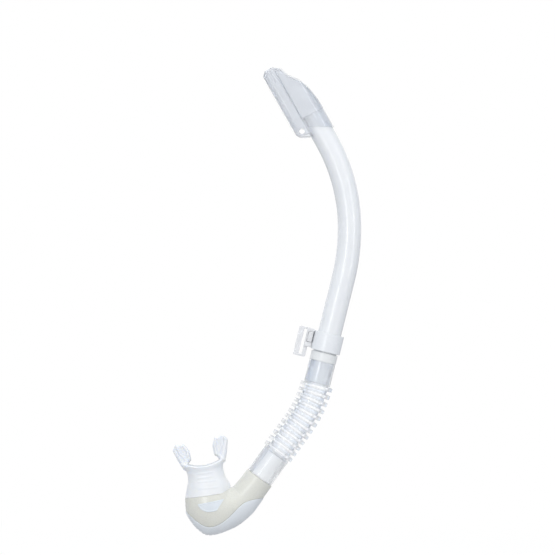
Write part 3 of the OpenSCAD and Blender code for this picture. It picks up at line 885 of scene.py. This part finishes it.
# Parts of a bite tab, each a skin round blobs: (across, along, radius, half thickness)
tab_pieces = (
    # plate
    ((-4.4, 5.6, 1.9, 2.0), (-4.9, -1, 1.9, 2.0), (-2.4, -8, 1.9, 1.9),
     (1.6, 0, 1.9, 2.0), (0.8, 8.0, 1.9, 2.0), (0.2, -9, 1.9, 1.9)),
    # inner ridge, upper and lower half
    ((-4.4, 6, 1.9, 3.1), (-5.2, -0.5, 2, 3.3)), ((-5.2, -0.5, 2, 3.3), (-2.8, -8, 1.7, 2.6)),
    # outer ridge, upper and lower half
    ((0.9, 8.4, 2, 3.1), (1.8, 1, 2.1, 3.3)), ((1.8, 1, 2.1, 3.3), (0.6, -8, 1.9, 2.6)),
    # web
    ((4.4, 6.1, 2, 1.8), (4.8, -3, 2.4, 2.1), (4, -11.5, 3, 4.2)),
    # crown
    ((-4.3, 6.2, 1.7, 2.2), (0.9, 8.6, 1.9, 2.4), (4.0, 6.8, 1.8, 1.9),
     (4.2, 2.0, 1.6, 1.7), (0, 2.0, 1.6, 1.9)),
    # root
    ((0.6, -8, 2.6, 2.6), (4.2, -12.5, 3, 5.1)),
)
parts = []
for side in (-1, 1):
    to = tab_frame(side)
    for k, blobs in enumerate(tab_pieces):
        shapes = [((side * x, 0, z), (r, half, r)) for x, z, r, half in blobs]
        parts.append(hulled("piece_%d" % k, shapes, to))
mouthpiece = join(neck_shell(), parts)
fuse(mouthpiece, voxel=0.36, rounds=4)
place(mouthpiece, mouth_silicone, "chamber", "mouth_silicone", "mouthpiece")

# ---------------------------------------------------------------- CAD nodes that stay
for node, mat in (
    ("swivel_spigot", white_plastic), ("swivel_seal", seal_rubber), ("swivel_clip", clip_steel),
    ("swivel_bush", white_plastic), ("purge_seat", white_plastic), ("purge_membrane", membrane_silicone),
):
    nodes[node].data.materials.clear()
    nodes[node].data.materials.append(mat)

# ---------------------------------------------------------------- floor, light, camera
FLOOR_Z = cad_box[0].z - 0.07
FLOOR_SIDES, FLOOR_RINGS = 48, (0.3, 0.8, 1.6, 3.0, 6.0, 12.0)
floor_points, floor_faces = [(0, 0, FLOOR_Z / MM)], []
for k, r in enumerate(FLOOR_RINGS):
    for j in range(FLOOR_SIDES):
        t = 2 * math.pi * j / FLOOR_SIDES
        floor_points.append((r * math.cos(t) / MM, r * math.sin(t) / MM, FLOOR_Z / MM))
        a, b = 1 + k * FLOOR_SIDES + j, 1 + k * FLOOR_SIDES + (j + 1) % FLOOR_SIDES
        floor_faces.append((0, a, b) if k == 0 else (a - FLOOR_SIDES, a, b, b - FLOOR_SIDES))
floor = make("floor", floor_points, floor_faces, outward=False)

# The floor is matte near the object and fades to pure white. Only the camera and the clear parts
# see it so: to all other light it is a dimmer floor
floor_mat = bpy.data.materials.new("floor_white")
tree = empty_tree(floor_mat)
matte = add_node(tree, "BsdfDiffuse", Color=(0.95, 0.95, 0.95, 1))
glow = add_node(tree, "Emission", Color=(1, 1, 1, 1), Strength=1.0)
dim = add_node(tree, "BsdfDiffuse", Color=(0.55, 0.55, 0.56, 1))
spot = add_node(tree, "TexCoord")
length = add_node(tree, "VectorMath")
length.operation = "LENGTH"
fade = add_node(tree, "MapRange", From_Min=0.12, From_Max=1.1)
fade.interpolation_type = "SMOOTHSTEP"
tree.links.new(spot.outputs["Object"], length.inputs[0])
tree.links.new(length.outputs["Value"], fade.inputs["Value"])
bright = mixed(tree, fade.outputs["Result"], matte.outputs["BSDF"], glow.outputs["Emission"])
path = add_node(tree, "LightPath")
seen = add_math(tree, "MAXIMUM", path.outputs["Is Camera Ray"], path.outputs["Is Transmission Ray"])
out = add_node(tree, "OutputMaterial")
tree.links.new(mixed(tree, seen.outputs["Value"], dim.outputs["BSDF"], bright), out.inputs["Surface"])
floor.data.materials.append(floor_mat)

# The camera sees white. Light bent by the clear parts meets dark blue cards at the studio's
# sides, which draws their edges, and all other light meets a room that is greyer at its sides
world = bpy.data.worlds.new("studio")
bpy.context.scene.world = world
tree = empty_tree(world)
way = add_node(tree, "TexCoord")
split = add_node(tree, "SeparateXYZ")
tree.links.new(way.outputs["Generated"], split.inputs["Vector"])
sideways = add_math(tree, "ABSOLUTE", split.outputs["X"])


def backdrop(low, high, side_colour):
    """Background that goes from white to a colour at the sides."""
    ramp = add_ramp(tree, low, (1, 1, 1), high, side_colour, "EASE")
    node = add_node(tree, "Background", Strength=1.0)
    tree.links.new(sideways.outputs["Value"], ramp.inputs["Fac"])
    tree.links.new(ramp.outputs["Color"], node.inputs["Color"])
    return node.outputs["Background"]


room = backdrop(0.35, 0.95, (0.58, 0.62, 0.67))
cards = backdrop(0.22, 0.7, (0.24, 0.37, 0.60))
white = add_node(tree, "Background", Color=(1, 1, 1, 1), Strength=1.0)
path = add_node(tree, "LightPath")
bent = mixed(tree, path.outputs["Is Transmission Ray"], room, cards)
out = add_node(tree, "OutputWorld")
shown = mixed(tree, path.outputs["Is Camera Ray"], bent, white.outputs["Background"])
tree.links.new(shown, out.inputs["Surface"])


def softbox(name, at, target, width, height, power):
    data = bpy.data.lights.new(name, "AREA")
    data.shape = "RECTANGLE"
    data.size, data.size_y = width, height
    data.energy = power
    lamp = bpy.data.objects.new(name, data)
    bpy.context.scene.collection.objects.link(lamp)
    lamp.location = at
    lamp.rotation_mode = "QUATERNION"
    lamp.rotation_quaternion = (Vector(target) - Vector(at)).to_track_quat("-Z", "Y")
    lamp.visible_camera = False


middle = (cad_box[0] + cad_box[1]) / 2
softbox("key", (-0.62, -1.55, 0.55), middle, 0.3, 1.7, 7.4)
softbox("edge", (1.15, -1.1, 0.35), middle, 0.14, 1.7, 4)
softbox("top", (-0.2, 0.2, 1.7), middle, 1.2, 1.2, 4.5)

# The view is FIELD metres wide at the object, and its middle is at AIM in the XZ plane
FIELD, AIM = 0.518, (-0.0238, 0.0593)
LENS, SENSOR = 200, 36
camera = bpy.data.objects.new("camera", bpy.data.cameras.new("camera"))
bpy.context.scene.collection.objects.link(camera)
camera.data.lens = LENS
camera.data.sensor_width = SENSOR
camera.location = (AIM[0], -FIELD * LENS / SENSOR, AIM[1])
camera.rotation_euler = (math.pi / 2, 0, 0)
camera.data.clip_end = 50
bpy.context.scene.camera = camera
bpy.context.scene.view_settings.view_transform = "Standard"
bpy.context.scene.view_settings.look = "None"
